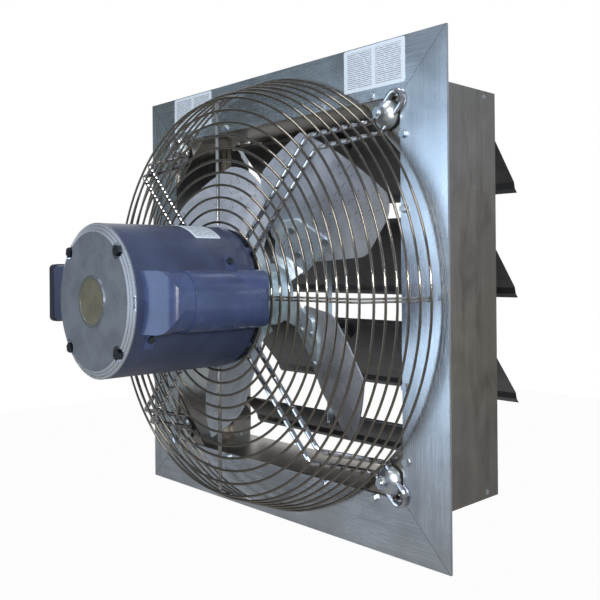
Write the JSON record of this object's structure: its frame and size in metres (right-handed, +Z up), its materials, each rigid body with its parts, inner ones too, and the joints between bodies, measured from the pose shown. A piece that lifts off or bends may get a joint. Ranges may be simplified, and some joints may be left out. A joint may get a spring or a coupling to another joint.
{
  "type": "shutter exhaust fan",
  "caption": "Wall exhaust fan: square sheet-metal frame and box, wire guard on bent struts carrying an electric motor and propeller, with a gravity shutter of linked blades behind.",
  "frame": {"origin": "centre of the square frame, on the wall plane: the rear face of the frame's hem", "axes": "+Y through the wall towards the shutter, -Y towards the motor, +Z up, +X to the right seen from the shutter's side"},
  "size_m": [0.61, 0.493, 0.61],
  "materials": {
    "frame_sheet": "bright galvanised sheet",
    "box_sheet": "galvanised sheet",
    "zinc": "zinc-plated",
    "wire": "bright plated wire",
    "strut_rod": "bright plated rod",
    "plate": "plated plate",
    "pad": "matt rubber",
    "motor_paint": "semi-gloss dark blue-grey paint",
    "lid_paint": "semi-gloss dark blue paint",
    "bell": "satin silver-grey",
    "cap": "satin tan",
    "core": "stacked laminations",
    "copper": "varnished copper",
    "bearing_steel": "ground steel",
    "capacitor_can": "drawn can",
    "hub_metal": "cast",
    "spider": "plated plate",
    "blade": "bright sheet",
    "louvre": "mill sheet",
    "rod": "bright rod",
    "tie": "flat bar",
    "bush": "moulded"
  },
  "bodies": {
    "housing": {"frame_top": "frame_sheet", "frame_bottom": "frame_sheet", "frame_left": "frame_sheet", "frame_right": "frame_sheet", "frame_screws": "zinc", "box_top": "box_sheet", "box_bottom": "box_sheet", "box_left": "box_sheet", "box_right": "box_sheet", "box_rivets": "zinc", "corner_gussets": "box_sheet", "shutter_rail_left": "box_sheet", "shutter_rail_right": "box_sheet", "shutter_bushes": "bush", "guard_rings": "wire", "guard_side_rings": "wire", "guard_spokes": "wire", "strut_rods": "strut_rod", "clamp_pads": "pad", "strut_clamps": "zinc", "clamp_bolts": "zinc", "clamp_nuts": "zinc", "motor_mount_plate": "plate", "motor_shell": "motor_paint", "front_bell": "bell", "rear_bell": "motor_paint", "bearing_cap": "cap", "through_bolts": "zinc", "through_bolt_nuts": "zinc", "stator_core": "core", "stator_windings": "copper", "front_bearing": "bearing_steel", "rear_bearing": "bearing_steel", "capacitor_cover": "motor_paint", "capacitor": "capacitor_can", "cover_screws": "zinc", "conduit_box": "motor_paint", "conduit_lid": "lid_paint", "conduit_screws": "zinc"},
    "rotor": {"motor_shaft": "bearing_steel", "rotor_core": "core", "fan_hub": "hub_metal", "fan_spider": "spider", "hub_set_screw": "zinc", "fan_blade_1": "blade", "fan_blade_2": "blade", "fan_blade_3": "blade", "fan_blade_4": "blade", "blade_rivets": "zinc"},
    "shutter_1": {"shutter_blade_1": "louvre", "pivot_rod_1": "rod"},
    "shutter_2": {"shutter_blade_2": "louvre", "pivot_rod_2": "rod"},
    "shutter_3": {"shutter_blade_3": "louvre", "pivot_rod_3": "rod"},
    "shutter_4": {"shutter_blade_4": "louvre", "pivot_rod_4": "rod"},
    "tie_bar": {"tie_bar": "tie", "tie_pins": "zinc"}
  },
  "joints": [
    {"name": "fan_spin", "type": "hinge", "parent": "housing", "child": "rotor", "pos_m": [0, 0, 0], "axis": [0, 1, 0], "continuous": true},
    {"name": "shutter_1", "type": "hinge", "parent": "housing", "child": "shutter_1", "pos_m": [0, 0.1249, 0.2435], "axis": [1, 0, 0], "range_deg": [-41, 39]},
    {"name": "shutter_2", "type": "hinge", "parent": "housing", "child": "shutter_2", "pos_m": [0, 0.1249, 0.1008], "axis": [1, 0, 0], "range_deg": [-41, 39]},
    {"name": "shutter_3", "type": "hinge", "parent": "housing", "child": "shutter_3", "pos_m": [0, 0.1249, -0.04191], "axis": [1, 0, 0], "range_deg": [-41, 39]},
    {"name": "shutter_4", "type": "hinge", "parent": "housing", "child": "shutter_4", "pos_m": [0, 0.1249, -0.18461], "axis": [1, 0, 0], "range_deg": [-41, 39]},
    {"name": "tie_bar_pivot", "type": "hinge", "parent": "shutter_1", "child": "tie_bar", "pos_m": [0, 0.10436, 0.23562], "axis": [1, 0, 0], "range_deg": [-39, 41]}
  ],
  "couplings": [
    {"joint": "shutter_2", "follows": "shutter_1", "ratio": 1},
    {"joint": "shutter_3", "follows": "shutter_1", "ratio": 1},
    {"joint": "shutter_4", "follows": "shutter_1", "ratio": 1},
    {"joint": "tie_bar_pivot", "follows": "shutter_1", "ratio": -1}
  ]
}
